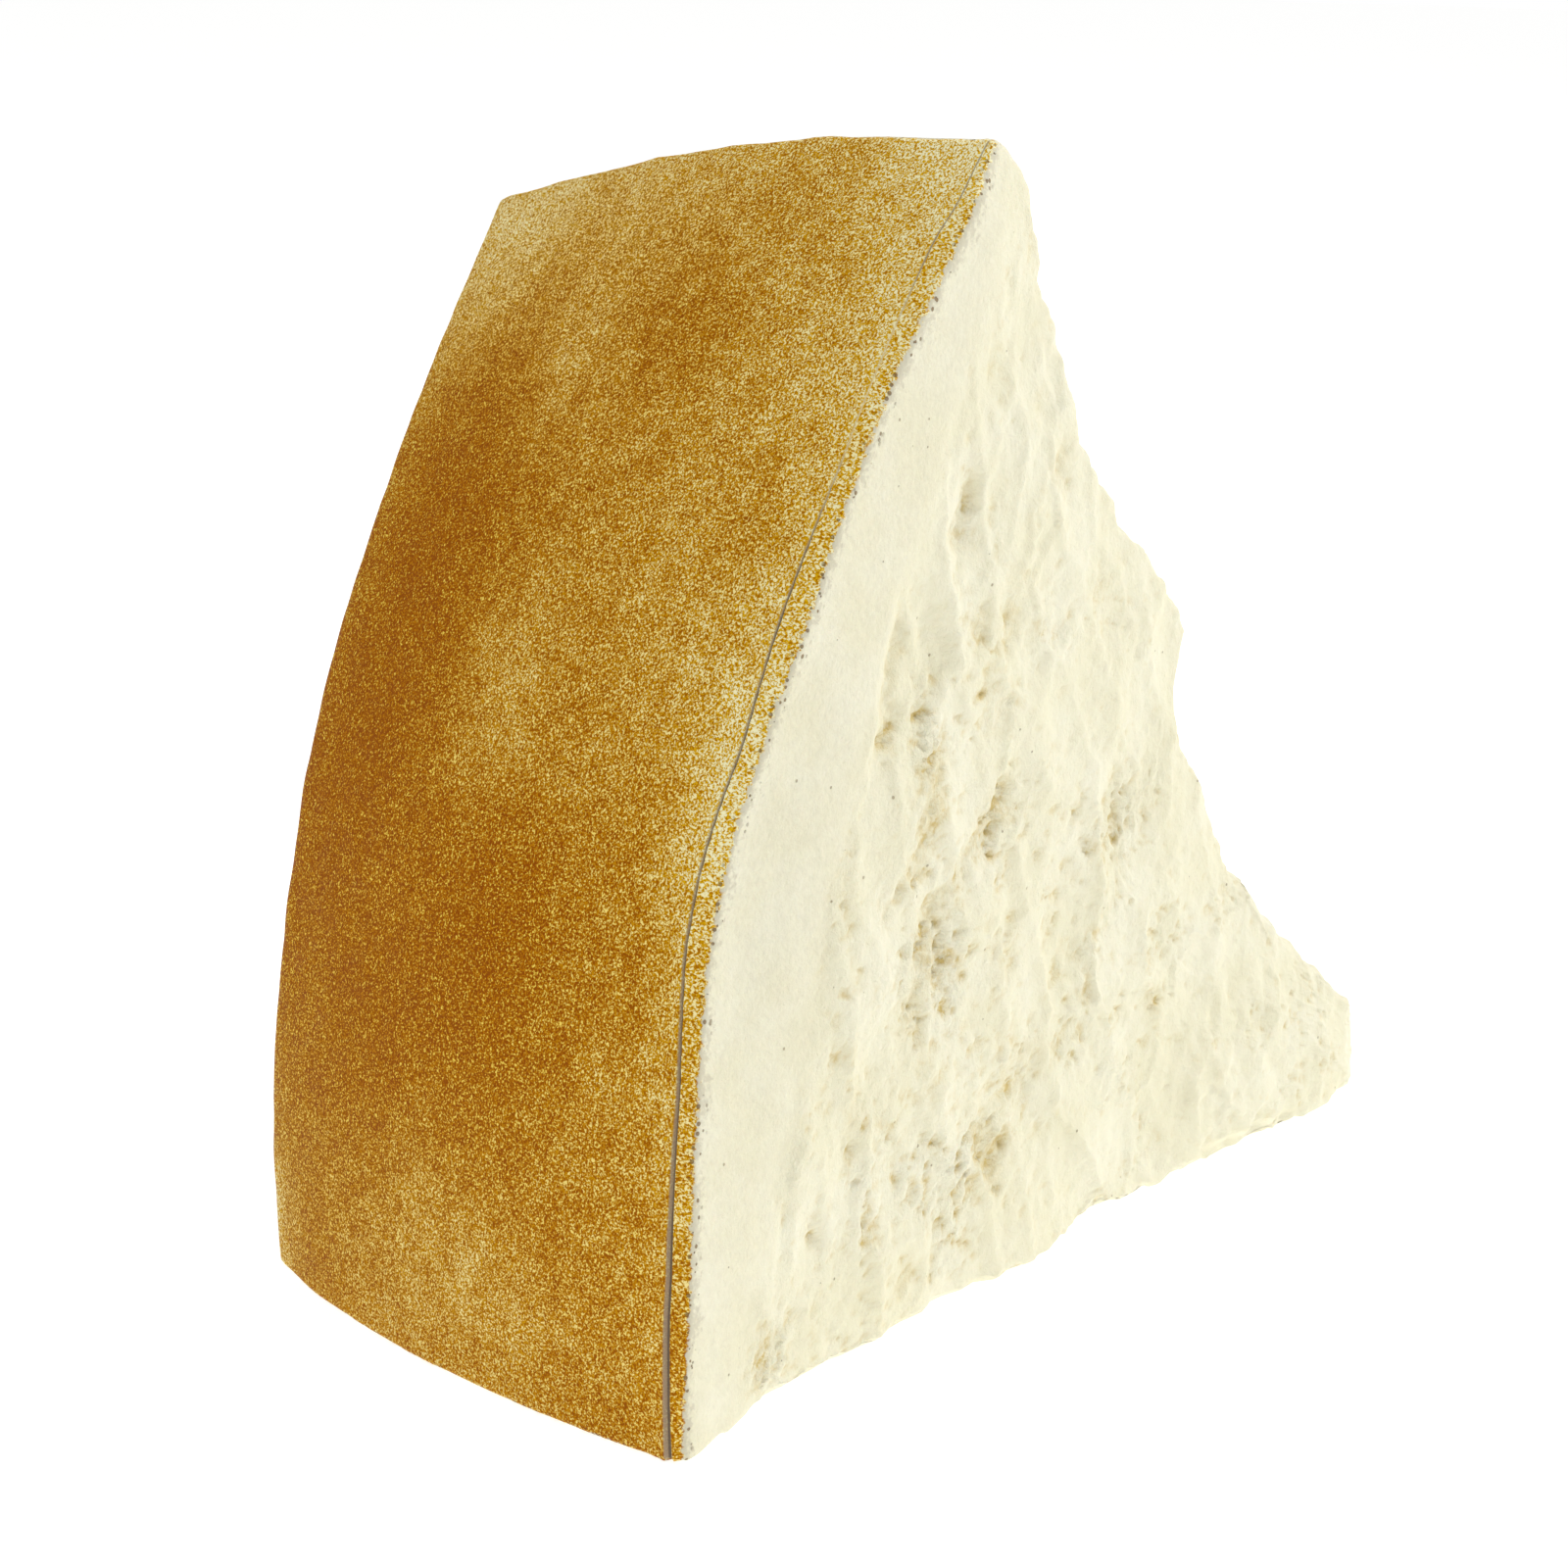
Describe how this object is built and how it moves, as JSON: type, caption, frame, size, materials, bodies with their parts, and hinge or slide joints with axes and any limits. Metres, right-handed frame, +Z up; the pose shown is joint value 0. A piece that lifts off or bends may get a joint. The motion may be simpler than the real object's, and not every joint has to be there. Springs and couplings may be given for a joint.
{
  "type": "cheese wedge",
  "caption": "Wedge of hard grana-type cheese with golden speckled rind, standing on a cut side; a food prop for kitchens, counters and cheese boards.",
  "frame": {"origin": "under the middle of the wedge's box, on the surface it stands on", "axes": "+X from the rind towards the tip, +Y from the broken face towards the wheel's plate, +Z up"},
  "size_m": [0.189, 0.0954, 0.1556],
  "materials": {
    "cheese": "matte, dry ivory paste with a satin golden-brown rind"
  },
  "bodies": {
    "root": {"cheese_wedge": "cheese"}
  },
  "joints": []
}
